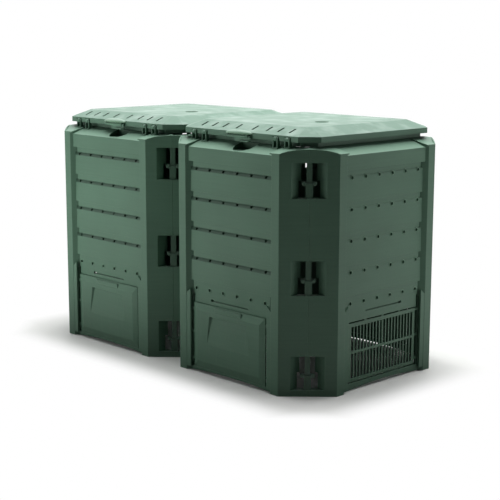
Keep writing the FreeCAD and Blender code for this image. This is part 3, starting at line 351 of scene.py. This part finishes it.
# Finger levers: a round barrel on the latch pin, a hanging plate and a tongue to pull, all one
# moulding of the lids' plastic with soft edges.
lever_plastic = moulded_plastic("moulded polypropylene lever", "#567763", "#8fae9c",
                                roughness=0.34, edge=1.0)
pin_front, pin_height, barrel_radius, barrel_half = -0.3115, 0.789, 0.0047, 0.0394
plate_left, plate_right, plate_thickness, plate_foot = -0.014, 0.055, 0.0035, 0.7725
tongue_left, tongue_right, tongue_reach, tongue_thickness = 0.011, 0.053, 0.0098, 0.0030
tongue_foot, barrel_round, plate_round = plate_foot + 0.0008, 0.0008, 0.0011
for side, middle in lid_middles.items():
    shape = bmesh.new()
    barrel = bmesh.ops.create_cone(shape, cap_ends=True, segments=32, radius1=barrel_radius,
                                   radius2=barrel_radius, depth=2 * barrel_half)["verts"]
    bmesh.ops.rotate(shape, cent=(0, 0, 0), matrix=Matrix.Rotation(math.radians(90), 3, "Y"),
                     verts=barrel)
    bmesh.ops.translate(shape, vec=(0, pin_front, pin_height), verts=barrel)
    ends = [edge for edge in shape.edges if edge.calc_face_angle(0) > 1.2]
    bmesh.ops.bevel(shape, geom=ends, offset=barrel_round, offset_type="OFFSET",
                    affect="EDGES", segments=2, profile=0.5, material=-1)
    blocks = (((plate_left, plate_right),
               (pin_front - plate_thickness / 2, pin_front + plate_thickness / 2),
               (plate_foot, pin_height)),
              ((tongue_left, tongue_right), (pin_front - tongue_reach, pin_front),
               (tongue_foot, tongue_foot + tongue_thickness)))
    for limits in blocks:
        block = bmesh.ops.create_cube(shape, size=1)["verts"]
        bmesh.ops.scale(shape, vec=[high - low for low, high in limits], verts=block)
        bmesh.ops.translate(shape, vec=[(low + high) / 2 for low, high in limits], verts=block)
        sides = {edge for vert in block for edge in vert.link_edges}
        bmesh.ops.bevel(shape, geom=list(sides), offset=plate_round, offset_type="OFFSET",
                        affect="EDGES", segments=3, profile=0.5, material=-1)
    bmesh.ops.translate(shape, vec=(middle, 0, 0), verts=shape.verts)
    bmesh.ops.recalc_face_normals(shape, faces=shape.faces)
    lever = finish_piece(f"finger_lever_{side}", shape, lever_plastic, f"latch_{side}")
    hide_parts(f"latch_lever_{side}")

# Camera at the photograph's angle: about 46 degrees round to the right and 10 degrees up.
# The lens is long, as for a picture taken from four metres away.
photo_side, focal_pixels, roll = 500, 1217, math.radians(0.12)
camera_data = bpy.data.cameras.new("camera")
camera_data.sensor_width = 36
camera_data.lens = focal_pixels / photo_side * 36
camera_data.clip_end = 50
camera = bpy.data.objects.new("camera", camera_data)
bpy.context.collection.objects.link(camera)
eye, target = Vector((3.0903, -2.9416, 1.1328)), Vector((0.247, -0.191, 0.400))
look = (target - eye).to_track_quat("-Z", "Y").to_matrix().to_4x4()
camera.matrix_world = Matrix.Translation(eye) @ look @ Matrix.Rotation(roll, 4, "Z")
bpy.context.scene.camera = camera

# The studio's backdrop is white wherever it is seen, and gives a little cool light all round.
# Gloss sees it white behind the bin and dim where the photographer stands.
world = bpy.data.worlds.new("studio")
bpy.context.scene.world = world
world.use_nodes = True
sky = world.node_tree
sky.nodes.clear()
path = add(sky, "LightPath")
way = add(sky, "TexCoord")
behind = add(sky, "VectorMath", {0: way.outputs["Generated"], 1: (-0.66, 0.66, 0.35)},
             operation="DOT_PRODUCT")
backdrop = add(sky, "MapRange", {"Value": behind.outputs["Value"], "From Min": -0.3,
                                 "From Max": 0.5, "To Min": 0.1, "To Max": 1.0},
               interpolation_type="SMOOTHSTEP")
fill = add(sky, "Background", {"Color": (0.9, 0.95, 1.0, 1), "Strength": 0.06})
gloss = add(sky, "Background", {"Color": (1, 1, 1, 1), "Strength": backdrop.outputs["Result"]})
white = add(sky, "Background", {"Color": (1, 1, 1, 1), "Strength": 1.0})
shiny = add(sky, "MixShader", {0: path.outputs["Is Glossy Ray"],
                               1: fill.outputs[0], 2: gloss.outputs[0]})
seen = add(sky, "Math", {0: path.outputs["Is Camera Ray"],
                         1: path.outputs["Is Transmission Ray"]}, operation="MAXIMUM")
shown = add(sky, "MixShader", {0: seen.outputs[0], 1: shiny.outputs[0], 2: white.outputs[0]})
add(sky, "OutputWorld", {"Surface": shown.outputs[0]})

bpy.context.scene.view_settings.view_transform = "Standard"


def soft_light(name, place, aim, width, height, watts):
    """A soft box: a large area light turned to the point it lights."""
    data = bpy.data.lights.new(name, "AREA")
    data.shape = "RECTANGLE"
    data.size, data.size_y = width, height
    data.energy = watts
    lamp = bpy.data.objects.new(name, data)
    bpy.context.collection.objects.link(lamp)
    turn = (Vector(aim) - Vector(place)).to_track_quat("-Z", "Y").to_matrix().to_4x4()
    lamp.matrix_world = Matrix.Translation(place) @ turn
    lamp.visible_glossy = False
    lamp.visible_camera = False


# One broad light stands high over the back of the bin, and a soft box on each side of it. Cards
# that glow lie on the ground in front and on the right, so light also comes from below. Most of
# it comes across the camera's line, so the faces that look at the camera stay darkest.
soft_light("overhead", (-0.3, 0.6, 3.6), (0, 0, 0.7), 3.4, 3.0, 235)
soft_light("left_box", (-2.7, -3.3, 0.9), (-0.1, -0.3, 0.4), 1.8, 1.6, 34)
soft_light("right_box", (3.3, 2.7, 0.9), (0.6, 0.1, 0.4), 1.8, 1.6, 20)
soft_light("left_card", (-1.3, -1.9, 0.01), (-1.3, -1.9, 1.0), 2.2, 2.0, 78)
soft_light("right_card", (2.0, 1.3, 0.01), (2.0, 1.3, 1.0), 2.0, 2.2, 38)

# A roll of white paper under the bin. Near the bin it shows the bin's shadow, and away from it
# the paper is as white as the backdrop.
mesh = bpy.data.meshes.new("floor")
shape = bmesh.new()
bmesh.ops.create_grid(shape, x_segments=1, y_segments=1, size=8)
shape.to_mesh(mesh)
shape.free()
floor = bpy.data.objects.new("floor", mesh)
bpy.context.collection.objects.link(floor)
paper = bpy.data.materials.new("white paper roll")
paper.use_nodes = True
tree = paper.node_tree
tree.nodes.clear()
path = add(tree, "LightPath")
spot = add(tree, "TexCoord")
axes = add(tree, "SeparateXYZ", {0: spot.outputs["Object"]})
bin_half_width, bin_half_depth, fade_start, fade_end = 0.675, 0.36, 0.04, 0.19
past = []
for axis, reach in (("X", bin_half_width), ("Y", bin_half_depth)):
    away = add(tree, "Math", {0: axes.outputs[axis]}, operation="ABSOLUTE")
    over = add(tree, "Math", {0: away.outputs[0], 1: reach}, operation="SUBTRACT")
    past.append(add(tree, "Math", {0: over.outputs[0], 1: 0.0}, operation="MAXIMUM"))
distance = add(tree, "Math", {0: past[0].outputs[0], 1: past[1].outputs[0]}, operation="ADD")
far = add(tree, "MapRange", {"Value": distance.outputs[0], "From Min": fade_start,
                             "From Max": fade_end}, interpolation_type="SMOOTHSTEP")
lit = add(tree, "BsdfDiffuse", {"Color": linear("#f0f0ee")})
bounce = add(tree, "BsdfDiffuse", {"Color": linear("#a8a8a6")})
glow = add(tree, "Emission", {"Color": (1, 1, 1, 1), "Strength": 1.0})
near = add(tree, "MixShader", {0: far.outputs["Result"], 1: lit.outputs[0], 2: glow.outputs[0]})
both = add(tree, "MixShader", {0: path.outputs["Is Camera Ray"], 1: bounce.outputs[0],
                               2: near.outputs[0]})
add(tree, "OutputMaterial", {"Surface": both.outputs[0]})
mesh.materials.append(paper)
